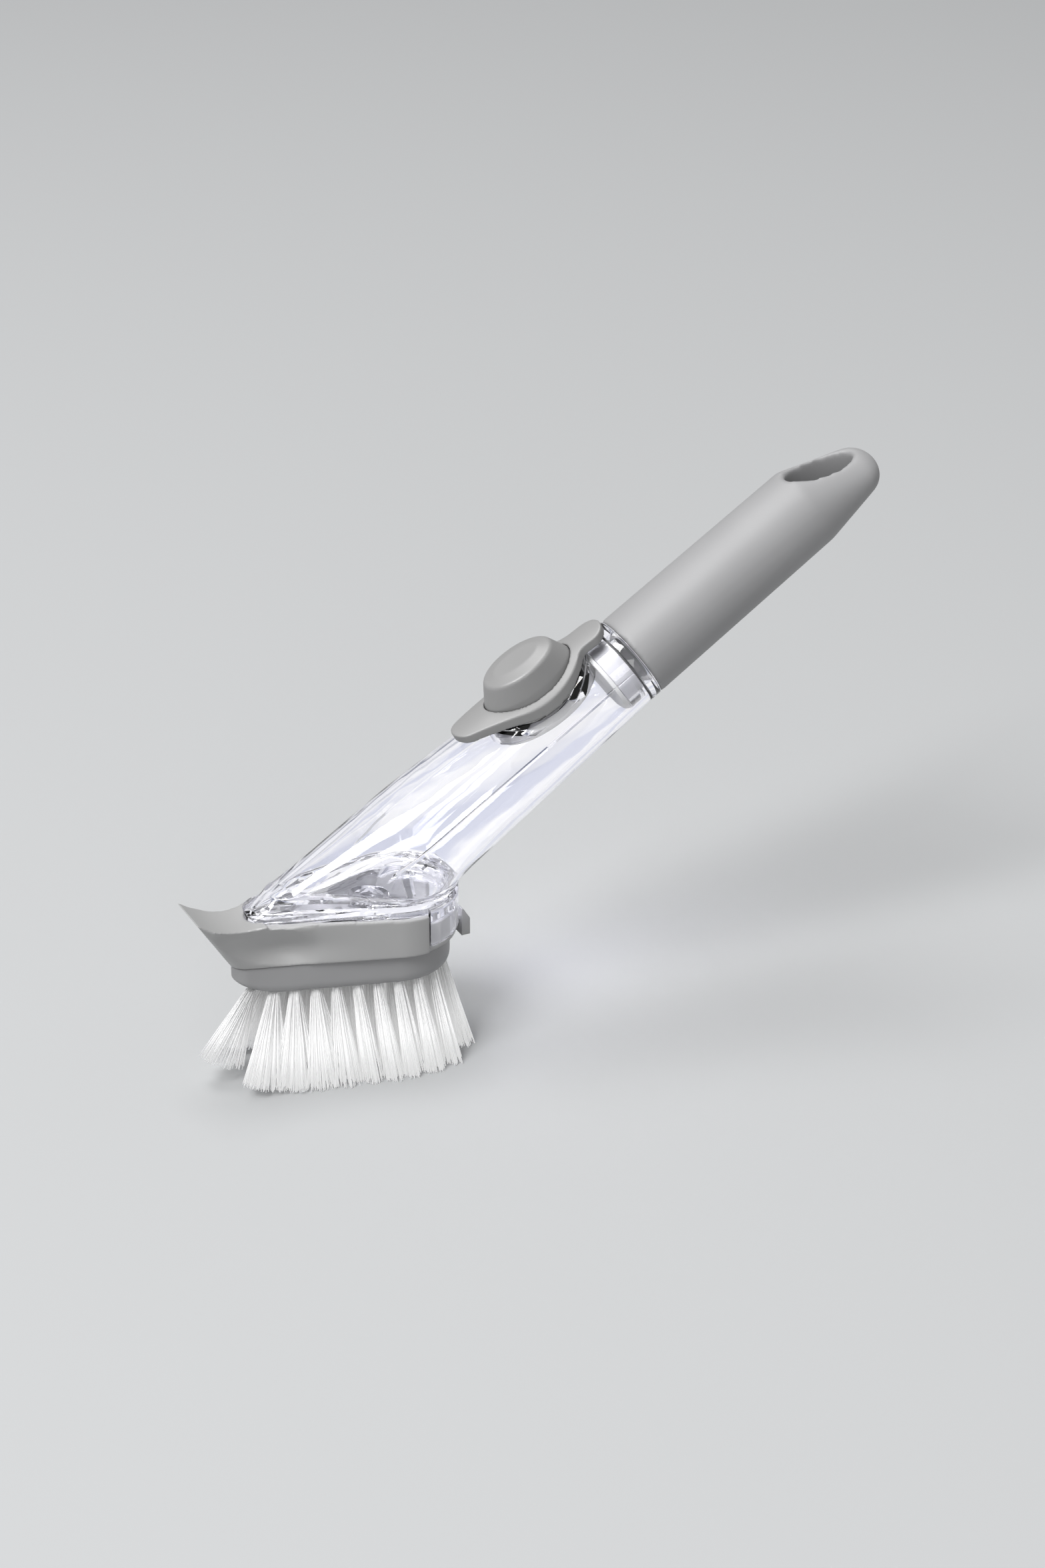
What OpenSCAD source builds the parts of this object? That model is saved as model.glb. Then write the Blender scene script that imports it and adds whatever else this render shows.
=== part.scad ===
// Soap dispensing dish wand: clear tank with a soft grip, a pump lid and a slide-off scrub head.
// Frame: X from scraper to grip, Y sideways, Z up, origin on the bristle tips under the head.

/* [Handle line] */
// tilt of the handle above the head plate, degrees
tilt = 33.2; // [25:0.1:45]
// collar centre along X
collar_x = 109.9; // [100:0.1:120]
// collar centre height
collar_z = 120.85; // [110:0.05:130]
// collar radius
collar_r = 15; // [13:0.1:17]
// visible width of the collar ring
collar_w = 4; // [2:0.1:6]

/* [Tank] */
// wall of the tank
wall = 2; // [1.5:0.1:3]
// distance from the collar down to the foot
tube_run = 88; // [70:0.5:100]
// tube radius where it meets the foot
tube_r = 19.1; // [16:0.1:21]
// how far the tube axis rises towards the foot
tube_rise = 1.7; // [0:0.1:3]
// height of the tank's lower edge
tank_z = 57; // [54:0.1:60]
// radius of the tank's wide end at the foot
lip_r = 19.9; // [18.9:0.1:20.8]
// height of the foot's upright lip
lip_h = 2.6; // [1:0.1:4]

/* [Foot] */
// thickness of the foot floor
floor_t = 3; // [2:0.1:4]
// lower edge of the side walls
side_z = 51.5; // [49:0.1:52.5]
// lower edge of the rear skirt
skirt_z = 44; // [43:0.1:46]
// thickness of the side walls and the skirt
skirt_t = 1.8; // [1.2:0.1:2.5]
// how far the skirt is set in from the rim's outside
skirt_set = 0.1; // [0:0.05:0.5]
// thickness of the ledge that joins the skirt to the floor
ledge_t = 1.2; // [1:0.1:2]
// distance of the skirt's ribs from the middle
rib_y = 13.2; // [12:0.1:14]
// thickness of the skirt's ribs
rib_t = 1.2; // [0.8:0.1:1.6]
// where the skirt's ribs begin along X
rib_x = 34; // [32:0.5:36]
// how far the rail flange stands out
flange_w = 0.6; // [0.4:0.1:0.8]
// thickness of the rail flange
flange_t = 1.2; // [0.8:0.1:1.5]
// where the rail flange ends and the skirt begins
flange_end_x = 26; // [20:0.5:30]
// soap outlet along X
outlet_x = 16; // [10:0.5:22]
// outer radius of the outlet boss
boss_r = 7.2; // [6:0.1:9]
// lower end of the outlet boss
boss_z = 46.8; // [46.5:0.1:48]
// bore of the outlet boss
boss_bore_r = 5.4; // [4:0.1:6]
// width of the inlet gasket's ring
gasket_w = 3; // [1.5:0.1:4]
// soap hole through the foot floor
soap_hole_r = 3; // [2:0.1:4]

/* [Head outline] */
// centre of the wide end along X
rear_x = 25; // [20:0.5:30]
// radius of the wide end
rear_r = 21.4; // [18:0.1:25]
// centre of the narrow end along X
nose_x = -27; // [-32:0.5:-22]
// radius of the narrow end
nose_r = 5.85; // [4:0.05:8]
// how far the foot is set in from the rim's outside
foot_inset = 2.5; // [2:0.1:3]
// centre of the foot's narrow end along X
foot_nose_x = -21.5; // [-25:0.1:-19]
// radius of the foot's narrow end
foot_nose_r = 5.2; // [4:0.1:5.6]

/* [Head carrier] */
// underside of the carrier
deck_z = 41.6; // [40:0.1:43]
// thickness of the carrier floor
deck_t = 2; // [1.5:0.1:3]
// rim height at the middle of the head
rim_z = 56; // [54:0.1:58]
// slope of the rim's top, degrees
rim_slope = 2.2; // [0:0.1:4]
// where the rim is cut down to the rear shelf
rim_end_x = 28.5; // [24:0.5:32]
// how far the rear shelf is set in
shelf_inset = 0.8; // [0:0.1:2]
// foremost point of the scraper blade
blade_x = -47.3; // [-50:0.1:-42]
// height of the scraper blade
blade_z = 65.2; // [60:0.1:68]
// width of the scraper blade
blade_w = 18.8; // [14:0.1:24]
// thickness of the scraper blade's edge
blade_t = 1.3; // [0.8:0.1:3]
// height of the blade's root at the nose
bow_h = 9; // [6:0.1:12]
// where the blade's flanks run into the rim along X
cheek_x = -6; // [-12:0.1:0]
// half distance of the flanks there
cheek_y = 11.4; // [10.5:0.1:11.6]
// height of the flanks there
cheek_h = 13; // [10:0.1:14]
// middle of the ring that hollows a flank, along X
flank_x = -34.7; // [-38:0.1:-31]
// middle of that ring sideways
flank_y = 64.8; // [64:0.1:66]
// height of the middle of that ring
flank_z = 37.6; // [35:0.1:40]
// radius of that ring's middle line
flank_ring_r = 42; // [30:0.5:42.5]
// radius of that ring's section
flank_r = 18; // [12:0.5:18.5]
// tip of that ring's axis, degrees
flank_tip = 20.4; // [10:0.1:30]
// turn of that ring's axis about Z, degrees
flank_turn = 56.9; // [40:0.1:80]
// radius of the hollow ramp behind the blade
ramp_r = 28; // [20:0.5:40]
// lowest point of the ramp along X
ramp_x = -29; // [-34:0.5:-24]
// lowest height of the ramp
ramp_z = 57.3; // [55:0.1:60]
// outer side of the rear posts
post_end_y = 17.4; // [16.5:0.1:17.8]
// thickness of the rear posts
post_t = 2; // [1.5:0.1:3]

/* [Release latch] */
// hinge line of the latch along X
latch_x = 27; // [24:0.5:30]
// half width of the latch tongue
latch_hw = 5; // [4:0.1:7]
// depth of the room that the tongue swings down into
latch_room = 4; // [3.5:0.1:6]
// thickness of the latch tongue
latch_t = 1.6; // [1.2:0.1:2.5]
// half width of the press tab
tab_hw = 6.5; // [5:0.1:9]
// length of the press tab along X
tab_l = 3.1; // [2.5:0.1:6]
// lower end of the press tab
tab_z = 36.6; // [35:0.1:39]

/* [Brush block] */
// underside of the block
block_z = 30; // [26:0.5:34]
// centre of the block's wide end
block_rear_x = 24; // [20:0.1:28]
// radius of the block's wide end
block_rear_r = 19.2; // [16:0.1:22]
// radius of the block's narrow end
block_nose_r = 5.2; // [4:0.1:8]
// radius of the block's lower edge
block_edge_r = 4.2; // [1:0.1:5]
// radius of the soap inlet through the carrier
inlet_r = 3; // [2.6:0.1:4]
// depth of the inlet gasket's bed
gasket_bed = 0.6; // [0.3:0.1:1]
// soap duct radius through the block
duct_r = 2.6; // [2:0.1:3.5]

/* [Bristles] */
// thickness of the slice the tufts grow from
slice_t = 1.4; // [1:0.1:2]
// distance of the outer tufts from the block's edge
tuft_inset = 3.4; // [3:0.1:6]
// spacing of the tuft columns along X
tuft_pitch = 6.5; // [5.5:0.1:8]
// least spacing of tufts in a column
tuft_gap = 5.4; // [5:0.1:7]
// radius of a tuft at its root
tuft_r = 1.25; // [1:0.05:1.6]
// how much a tuft widens towards its tip
tuft_spread = 2.2; // [1:0.1:3]
// strands in the ring of one tuft
ring_strands = 9; // [6:1:9]
// radius of one strand
strand_r = 0.4; // [0.25:0.01:0.5]
// outward lean of the outer tufts at the tip
side_lean = 10.5; // [4:0.1:11]
// how much less the rearmost tufts lean outward
rear_ease = 2.5; // [0:0.1:4]
// length of the tuft field ahead of the middle and behind it
tip_run = 38; // [36:0.5:40]
// steady forward lean of the front tufts
front_lean = 12; // [10:0.5:14]
// further lean of the foremost tufts
front_curl = 21; // [16:0.5:22]
// backward lean of the rearmost tufts
rear_lean = 4; // [3.5:0.1:8]
// where the tips begin to rise towards the nose
toe_x = -10; // [-14:0.5:-6]
// rise of the foremost tips
toe_rise = 10; // [6:0.5:12]

/* [Pump lid] */
// how far the lid's centre lies ahead of the collar's along X
lid_ahead = 35.9; // [34:0.1:42]
// how far the lid's centre lies above the collar's
lid_rise = 0.35; // [-1:0.05:1.2]
// slope of the lid, degrees
lid_tilt = 29.6; // [25:0.1:35]
// outer radius of the lid's arch
arch_r = 18.5; // [16:0.1:22]
// thickness of the lid plate
lid_t = 3; // [2:0.1:4]
// half length of the leaf's middle
leaf_l = 20.5; // [18:0.1:24]
// half width of the leaf's middle
leaf_w = 12.4; // [11:0.1:14]
// radius of the leaf's lower tab
low_tab_r = 6; // [4:0.1:8]
// centre of the leaf's lower tab
low_tab_x = -24.5; // [-28:0.1:-20]
// radius of the leaf's upper tab
high_tab_r = 5.4; // [4:0.1:8]
// centre of the leaf's upper tab
high_tab_x = 24.6; // [20:0.1:28]
// fillet where the tabs meet the leaf
leaf_fillet = 6; // [2:0.5:10]
// half length of the cup's inside
cup_l = 17.5; // [16:0.1:19]
// half width of the cup's inside
cup_w = 10.6; // [9:0.1:12]
// wall of the cup
cup_wall = 0.8; // [0.6:0.1:1.5]
// depth of the cup below the lid's middle
cup_depth = 13.4; // [11:0.1:15]
// thickness of the cup's floor
cup_floor = 1.2; // [1:0.1:2]
// width of the raised seat round the port
seat_w = 1.6; // [1:0.1:3]
// gap between the lid and the seat
seat_gap = 0.6; // [0.3:0.1:1.5]
// how far the seat reaches down below the lid's middle
seat_reach = 12; // [11:0.1:13]
// width of the seal round the cup
seal_w = 0.6; // [0.4:0.1:1]
// height of the seal round the cup
seal_t = 1.2; // [0.8:0.1:2]
// depth of the seal below the lid's middle
seal_depth = 8.8; // [7.5:0.1:11]
// air hole in the cup's floor
air_hole_r = 1.5; // [1:0.1:2.5]

/* [Pump button] */
// half length of the button where it passes the lid
button_l = 16.75; // [15:0.05:18]
// half width of the button where it passes the lid
button_w = 9.9; // [9:0.05:11]
// half length of the button's top
button_top_l = 12.6; // [10:0.1:15]
// half width of the button's top
button_top_w = 8.6; // [6:0.1:9.5]
// height of the button's shoulder
button_h = 8.4; // [6:0.1:12]
// rise of the button's crown
crown_h = 1.2; // [0:0.1:2]
// lower end of the button's wall
button_low = -7.4; // [-9:0.1:-6]
// thickness of the button's wall
button_t = 1.6; // [1:0.1:2.5]
// thickness of the button's stop flange
stop_t = 1.3; // [1:0.1:2]
// radius of the bellows
bellows_r = 6.4; // [4:0.1:8]
// number of bellows folds
bellows_folds = 4; // [2:1:6]

/* [Grip] */
// length of the grip
grip_l = 104.5; // [90:0.5:120]
// grip radius before its end
grip_end_r = 14.3; // [12:0.1:16]
// distance from the grip's end to where the bevel starts
bevel_l = 28.5; // [22:0.5:40]
// slope of the bevel, degrees
bevel_tilt = 21.6; // [10:0.1:30]
// length of the rounded tip
tip_l = 8.5; // [5:0.1:14]
// half width of the rounded tip
tip_w = 11; // [8:0.1:14]
// half height of the rounded tip
tip_h = 8; // [5:0.1:12]
// how far the tip sits below the grip's middle line
tip_drop = 2.6; // [0:0.1:6]
// distance from the grip's end to the centre of the hang hole
hole_inset = 16.5; // [14:0.5:20]
// half length of the hang hole
hole_l = 12.6; // [8:0.1:16]
// half width of the hang hole
hole_w = 6.3; // [4:0.1:8]
// widening of the hole's rim
hole_rim = 1.2; // [0:0.1:3]
// radius of the core inside the grip
core_r = 11; // [8:0.1:12]
// distance from the hang hole's centre back to the core's end
core_back = 24; // [23:0.5:50]
// thickness of the core's end
core_end_t = 2; // [1.5:0.1:4]
// radial wall of the core
core_wall = 3; // [2:0.1:5]
// length of the spigot in the tank's mouth
spigot_l = 7.4; // [5:0.1:8]
// thickness of the plug's front flange
plug_t = 1.4; // [1:0.1:2]
// radial wall of the spigot
spigot_wall = 2.4; // [1.5:0.1:4]
// thickness of the dark joint gasket
gasket_t = 0.6; // [0.4:0.1:1]

/* [Hidden] */
// gap between pieces fixed together
bond = 0.02;
// running gap between moving pieces
run_gap = 0.3;
// gap of the button in the lid
button_gap = 0.25;
// overrun of cuts
over = 1;
// larger than the whole tool
far = 600;
// how far a teardrop's straight sides lie inside its circles
tangent_sink = 0.02;
// depth below the lid's middle line of the arch's axis
arch_drop = arch_r - lid_t / 2;
port_l = cup_l + cup_wall + seal_w;
port_w = cup_w + cup_wall + seal_w;
mouth_r = collar_r - wall;
collar_low = -collar_w / 2;
grip_low = collar_w / 2;
grip_top = grip_low + grip_l;
bevel_start = grip_top - bevel_l;
hole_pos = grip_top - hole_inset;
core_l = hole_pos - core_back;
mouth_bore = spigot_l + plug_t + 0.2;
// the lid keeps its place on the tube when the collar moves
lid_x = collar_x - lid_ahead;
lid_z = collar_z + lid_rise;
tube_end = collar_low - gasket_t - 2 * bond;
foot_rear_r = rear_r - foot_inset;
rim_in = run_gap;
deck_top = deck_z + deck_t;
hook_z = boss_z - run_gap;
hook_x = rear_x + rear_r - 0.1 + run_gap;
skirt_in = skirt_set + skirt_t;
post_gap = 0.5;
slice_gap = 0.02;
tuft_rear_r = block_rear_r - tuft_inset;
tuft_nose_r = block_nose_r - tuft_inset;
tuft_run = block_rear_x - nose_x;
tuft_sin = (tuft_rear_r - tuft_nose_r) / tuft_run;
tuft_cos = sqrt(1 - tuft_sin * tuft_sin);
columns = 10;
$fn = 96;

grey = [0.66, 0.66, 0.65];
soft_grey = [0.72, 0.72, 0.71];
dark_grey = [0.58, 0.58, 0.575];
clear = [0.86, 0.88, 0.95, 0.35];
white = [0.96, 0.96, 0.95];
silicone = [0.9, 0.9, 0.9, 0.6];

module on_collar() {
    translate([collar_x, 0, collar_z]) rotate([0, 90 - tilt, 0]) children();
}

module on_lid() {
    translate([lid_x, 0, lid_z]) rotate([0, -lid_tilt, 0]) children();
}

// teardrop with a wide round end and a narrow round end
module teardrop(big_x, big_r, small_x, small_r) {
    lean = asin((big_r - small_r) / (big_x - small_x));
    big_y = (big_r - tangent_sink) * cos(lean);
    small_y = (small_r - tangent_sink) * cos(lean);
    big_at = big_x - (big_r - tangent_sink) * sin(lean);
    small_at = small_x - (small_r - tangent_sink) * sin(lean);
    translate([big_x, 0]) circle(big_r);
    translate([small_x, 0]) circle(small_r);
    polygon([[big_at, big_y], [small_at, small_y], [small_at, -small_y], [big_at, -big_y]]);
}

module head_outline(grow = 0) {
    teardrop(rear_x, rear_r + grow, nose_x, nose_r + grow);
}

module foot_outline(grow = 0) {
    teardrop(rear_x, foot_rear_r + grow, foot_nose_x, foot_nose_r + grow);
}

module tank_outline(grow = 0) {
    teardrop(rear_x, lip_r + grow, foot_nose_x, foot_nose_r + grow);
}

module slab(low, high) {
    translate([0, 0, low]) linear_extrude(high - low) children();
}

// everything further along X than this
module beyond(x) {
    translate([x, -far / 2, -far / 2]) cube(far);
}

module oval(half_l, half_w, low, high) {
    translate([0, 0, low]) linear_extrude(high - low) scale([half_l, half_w]) circle(1);
}

module tube_disc(at, r, rise) {
    on_collar() translate([-rise, 0, at]) cylinder(r = r, h = 0.5, $fn = 64);
}

// the tank's outside, or its inside when shrunk by the wall
module tank_form(shrink, low, top) {
    hull() {
        slab(low, top) tank_outline(-shrink);
        tube_disc(-tube_run, tube_r - shrink, tube_rise);
    }
    hull() {
        tube_disc(-tube_run, tube_r - shrink, tube_rise);
        tube_disc(tube_end - 0.5, collar_r - shrink, 0);
    }
}

module reservoir_shell() {
    color(clear) difference() {
        union() {
            tank_form(0, tank_z, tank_z + lip_h);
            intersection() {
                on_lid() oval(port_l + seat_w, port_w + seat_w, -seat_reach, lid_t);
                on_lid() arch(arch_r - lid_t - seat_gap);
            }
        }
        tank_form(wall, tank_z - over, tank_z + lip_h - 1);
        on_lid() oval(port_l, port_w, -seat_reach - over, 2 * lid_t);
        on_collar() translate([0, 0, tube_end - mouth_bore]) cylinder(r = mouth_r, h = mouth_bore + over);
        // nothing of the tank reaches below its foot
        slab(tank_z - far, tank_z) square(far, center = true);
    }
}

module foot_plate() {
    color(clear) difference() {
        union() {
            difference() {
                union() {
                    slab(side_z, tank_z - bond) foot_outline();
                    // rail flange on the two sides and the nose
                    difference() {
                        slab(side_z, side_z + flange_t) foot_outline(flange_w);
                        beyond(flange_end_x);
                    }
                }
                slab(side_z - over, tank_z - floor_t) foot_outline(-skirt_t);
            }
            // rear skirt, flush with the rim's outside
            difference() {
                slab(skirt_z, tank_z - bond) head_outline(-skirt_set);
                slab(skirt_z - over, tank_z - bond - ledge_t) head_outline(-skirt_in);
                beyond(rim_end_x + run_gap - far);
            }
            // ribs inside the skirt
            intersection() {
                slab(skirt_z + rib_t / 2, tank_z - floor_t + over) head_outline(-skirt_set - skirt_t / 2);
                for (side = [-1, 1]) {
                    translate([rib_x, side * rib_y - rib_t / 2, 0]) cube([far, rib_t, far]);
                }
            }
            translate([outlet_x, 0, boss_z]) cylinder(r = boss_r, h = tank_z - floor_t - boss_z + 0.5);
        }
        translate([outlet_x, 0, boss_z - over])
            cylinder(r = boss_bore_r, h = tank_z - floor_t - boss_z + over);
        translate([outlet_x, 0, boss_z]) cylinder(r = soap_hole_r, h = far);
    }
}

module outlet_valve() {
    valve_top = tank_z - floor_t - bond;
    color(silicone) translate([outlet_x, 0, 0]) difference() {
        union() {
            translate([0, 0, valve_top - 1.6]) cylinder(r = boss_bore_r - bond, h = 1.6);
            translate([0, 0, valve_top - 5.4]) cylinder(r1 = 1.2, r2 = 3.4, h = 4.2);
        }
        translate([0, 0, valve_top - 4.6]) cylinder(r1 = 0.4, r2 = 2.6, h = 4.2);
        translate([0, 0, valve_top - 1]) cylinder(r = 2.5, h = 3);
        translate([-0.12, -0.9, valve_top - 6]) cube([0.24, 1.8, 3]);
    }
}

module valve_ring() {
    ring_top = tank_z - floor_t - 1.6 - 3 * bond;
    color(clear) translate([outlet_x, 0, 0]) difference() {
        translate([0, 0, boss_z + 0.4]) cylinder(r = boss_bore_r - bond, h = ring_top - boss_z - 0.4);
        translate([0, 0, boss_z - over]) cylinder(r = soap_hole_r + 1, h = far);
    }
}

module handle_core() {
    color(clear) on_collar() difference() {
        union() {
            translate([0, 0, collar_low]) cylinder(r = collar_r, h = collar_w - bond);
            translate([0, 0, collar_low - spigot_l]) cylinder(r = mouth_r - 0.05, h = spigot_l + 1);
            translate([0, 0, 0]) cylinder(r1 = core_r, r2 = core_r - 0.8, h = core_l);
        }
        translate([0, 0, collar_low - spigot_l - over])
            cylinder(r = mouth_r - spigot_wall, h = spigot_l + over);
        translate([0, 0, collar_low - over])
            cylinder(r = core_r - core_wall, h = core_l - core_end_t - collar_low + over);
    }
}

module mouth_gasket() {
    color(dark_grey * 0.5) on_collar() difference() {
        translate([0, 0, tube_end + bond]) cylinder(r = collar_r - 0.1, h = gasket_t);
        translate([0, 0, tube_end - over]) cylinder(r = mouth_r + bond, h = gasket_t + 3 * over);
    }
}

module core_plug() {
    plug_top = collar_low - bond;
    color(dark_grey) on_collar() difference() {
        union() {
            translate([0, 0, collar_low - spigot_l - plug_t])
                cylinder(r1 = mouth_r - 1.2, r2 = mouth_r - 0.3, h = plug_t - bond);
            translate([0, 0, collar_low - spigot_l - 1])
                cylinder(r = mouth_r - spigot_wall - bond, h = plug_top - collar_low + spigot_l + 1);
        }
        translate([0, 0, collar_low - spigot_l]) cylinder(r = core_r - core_wall - 1, h = spigot_l + over);
    }
}

module grip_sleeve() {
    color(soft_grey) on_collar() difference() {
        union() {
            translate([0, 0, grip_low])
                cylinder(r1 = collar_r, r2 = grip_end_r, h = bevel_start + 0.5 - grip_low);
            hull() {
                translate([0, 0, bevel_start]) cylinder(r = grip_end_r, h = 0.5, $fn = 64);
                translate([tip_drop, 0, grip_top - tip_l]) scale([tip_h, tip_w, tip_l])
                    sphere(1, $fn = 48);
            }
        }
        // bed of the core
        translate([0, 0, grip_low - over]) cylinder(r = core_r + bond, h = core_l - grip_low + over + bond);
        hang_hole_cut();
    }
}

module hang_hole_cut() {
    mouth_up = grip_end_r - (hole_pos - bevel_start) * tan(bevel_tilt);
    translate([-mouth_up, 0, hole_pos]) rotate([0, bevel_tilt, 0]) {
        translate([-hole_w, 0, 0]) rotate([0, 90, 0]) oval(hole_l, hole_w, 0, far);
        translate([hole_rim, 0, 0]) rotate([0, -90, 0]) scale([hole_l, hole_w, 1])
            cylinder(r1 = 1, r2 = 1 + 4 / hole_w, h = 4);
    }
}

module leaf() {
    offset(r = -leaf_fillet) offset(r = leaf_fillet) union() {
        hull() {
            scale([leaf_l, leaf_w]) circle(1);
            translate([low_tab_x, 0]) circle(low_tab_r);
        }
        hull() {
            circle(high_tab_r);
            translate([high_tab_x, 0]) circle(high_tab_r);
        }
    }
}

module arch(r) {
    translate([-far / 2, 0, -arch_drop]) rotate([0, 90, 0]) cylinder(r = r, h = far);
}

module pump_lid() {
    color(grey) on_lid() difference() {
        intersection() {
            slab(-arch_r, lid_t) leaf();
            arch(arch_r);
        }
        arch(arch_r - lid_t);
        oval(button_l + button_gap, button_w + button_gap, -arch_r, arch_r);
    }
}

module lid_cup() {
    color(dark_grey) on_lid() difference() {
        intersection() {
            oval(cup_l + cup_wall, cup_w + cup_wall, -cup_depth, 0);
            arch(arch_r - lid_t - bond);
        }
        oval(cup_l, cup_w, -cup_depth + cup_floor, lid_t);
        oval(air_hole_r, air_hole_r, -cup_depth - over, 0);
    }
}

module lid_seal() {
    color(dark_grey * 0.6) on_lid() difference() {
        oval(port_l - bond, port_w - bond, -seal_depth, seal_t - seal_depth);
        oval(cup_l + cup_wall + bond, cup_w + cup_wall + bond, -seal_depth - over, lid_t);
    }
}

module pump_button() {
    color(grey) on_lid() difference() {
        union() {
            oval(button_l, button_w, button_low, 1);
            oval(cup_l - 0.2, cup_w - 0.2, button_low, button_low + stop_t);
            hull() {
                oval(button_l, button_w, 0.6, 1);
                oval(button_top_l + 0.6, button_top_w + 0.6, button_h - 1, button_h - 0.6);
                oval(button_top_l, button_top_w, button_h - 0.2, button_h);
                oval(button_top_l - 4, button_top_w - 4, button_h + crown_h - 0.2, button_h + crown_h);
            }
        }
        oval(button_l - button_t, button_w - button_t, button_low - over, 1);
        oval(button_top_l - button_t, button_top_w - button_t, 0, button_h - button_t);
    }
}

module pump_bellows() {
    low = -cup_depth + cup_floor + bond;
    high = button_h - button_t - bond;
    fold = (high - low) / bellows_folds;
    color(silicone) on_lid() rotate_extrude($fn = 48) polygon(concat(
        [[bellows_r - 2.6, low]],
        [for (k = [0:bellows_folds - 1], half = [0, 1])
            [bellows_r - (half == 0 ? 1.4 : 0), low + fold * (k + (half == 0 ? 0.05 : 0.5))]],
        [[bellows_r - 1.4, high], [bellows_r - 2.6, high]],
        [for (k = [bellows_folds - 1:-1:0], half = [1, 0])
            [bellows_r - (half == 0 ? 2.2 : 0.9), low + fold * (k + (half == 0 ? 0.05 : 0.5))]]
    ));
}

module head_carrier() {
    color(grey) difference() {
        union() {
            slab(deck_z, ramp_z + deck_t) head_outline();
            hull() {
                translate([blade_x + blade_t / 2, blade_w / 2, blade_z - blade_t / 2])
                    rotate([90, 0, 0]) cylinder(d = blade_t, h = blade_w, $fn = 24);
                translate([nose_x, 0, deck_z]) cylinder(r = nose_r, h = bow_h, $fn = 48);
                for (side = [-1, 1]) {
                    translate([cheek_x, side * cheek_y, deck_z]) cylinder(r = 1, h = cheek_h, $fn = 24);
                }
            }
        }
        // hollow ramp behind the blade
        translate([ramp_x, far / 2, ramp_z + ramp_r]) rotate([90, 0, 0]) cylinder(r = ramp_r, h = far);
        // hollow flanks under the blade
        for (side = [-1, 1]) {
            translate([flank_x, side * flank_y, flank_z]) rotate([0, flank_tip, side * flank_turn])
                rotate_extrude() translate([flank_ring_r, 0]) circle(flank_r);
        }
        // sloping top of the rim
        translate([0, 0, rim_z]) rotate([0, rim_slope, 0]) translate([ramp_x + 3 * deck_t, -far / 2, 0])
            cube(far);
        // pocket of the foot and the groove of its rail
        slab(deck_top, rim_z + far) foot_outline(rim_in);
        slab(side_z - run_gap, side_z + flange_t + run_gap) foot_outline(flange_w + rim_in);
        // rear shelf
        translate([rim_end_x, -far / 2, deck_top]) cube(far);
        difference() {
            beyond(rim_end_x);
            slab(deck_z - over, deck_top + over) head_outline(-shelf_inset);
        }
        // slot of the latch tongue
        translate([latch_x, -latch_hw - run_gap, deck_z - over]) cube([far, 2 * (latch_hw + run_gap), far]);
        // soap inlet
        translate([outlet_x, 0, deck_z - over]) cylinder(r = inlet_r, h = deck_t + 2 * over);
        translate([outlet_x, 0, deck_top - gasket_bed]) cylinder(r = boss_r + bond, h = over + gasket_bed);
    }
    // upright posts just inside the clear skirt
    color(grey) intersection() {
        difference() {
            slab(deck_top - 0.5, side_z - run_gap) head_outline(-skirt_in - run_gap);
            slab(deck_z, rim_z) head_outline(-skirt_in - run_gap - post_t);
        }
        for (side = [-1, 1]) {
            post_field(side, boss_r + post_gap, rib_y - rib_t / 2 - post_gap);
            post_field(side, rib_y + rib_t / 2 + post_gap, post_end_y);
        }
    }
}

module post_field(side, from_y, to_y) {
    translate([rear_x + 2, min(side * from_y, side * to_y), deck_z]) cube([30, to_y - from_y, 30]);
}

module release_latch() {
    tongue_low = deck_top - latch_t;
    color(grey) difference() {
        union() {
            translate([latch_x + run_gap, -latch_hw, tongue_low])
                cube([hook_x - latch_x + 1, 2 * latch_hw, latch_t]);
            translate([0, tab_hw, 0]) rotate([90, 0, 0]) linear_extrude(2 * tab_hw) polygon([
                [hook_x, tab_z], [hook_x + tab_l, tab_z], [hook_x + tab_l, hook_z - 4],
                [hook_x + 0.6, hook_z], [hook_x, hook_z]]);
        }
    }
}

module brush_block() {
    color(dark_grey) difference() {
        hull() {
            translate([block_rear_x, 0, 0]) block_disc(block_rear_r);
            translate([nose_x, 0, 0]) block_disc(block_nose_r);
        }
        // bed of the bristle slice
        slab(block_z - over, block_z + slice_t + slice_gap) slice_outline(slice_gap);
        translate([outlet_x, 0, block_z]) cylinder(r = duct_r, h = far);
        // room for the latch to swing down
        translate([latch_x - over, -latch_hw - 2 * run_gap, deck_z - latch_room])
            cube([far, 2 * latch_hw + 4 * run_gap, latch_room + over]);
    }
}

module block_disc(r) {
    rotate_extrude($fn = 72) intersection() {
        union() {
            translate([r - block_edge_r, block_z + block_edge_r]) circle(block_edge_r, $fn = 32);
            translate([0, block_z]) square([r - block_edge_r, block_edge_r + over]);
            translate([0, block_z + block_edge_r]) square([r, deck_z - bond - block_z - block_edge_r]);
        }
        square([r + over, deck_z - bond]);
    }
}

module slice_outline(grow = 0) {
    teardrop(block_rear_x, block_rear_r - 1.4 + grow, nose_x, block_nose_r - 1.4 + grow);
}

module inlet_gasket() {
    color(silicone) translate([outlet_x, 0, deck_top - gasket_bed + bond]) difference() {
        cylinder(r = boss_r, h = boss_z - run_gap - deck_top + gasket_bed);
        translate([0, 0, -over]) cylinder(r = boss_r - gasket_w, h = far);
    }
}

// half width of the tuft field at x
function tuft_half(x) = x > block_rear_x - tuft_rear_r * tuft_sin
    ? sqrt(max(0.01, tuft_rear_r * tuft_rear_r - pow(x - block_rear_x, 2)))
    : tuft_rear_r / tuft_cos - (block_rear_x - x) * tuft_sin / tuft_cos;

function column_x(i) = min(-4 * tuft_pitch + i * tuft_pitch, block_rear_x + tuft_rear_r - 0.6);

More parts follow.
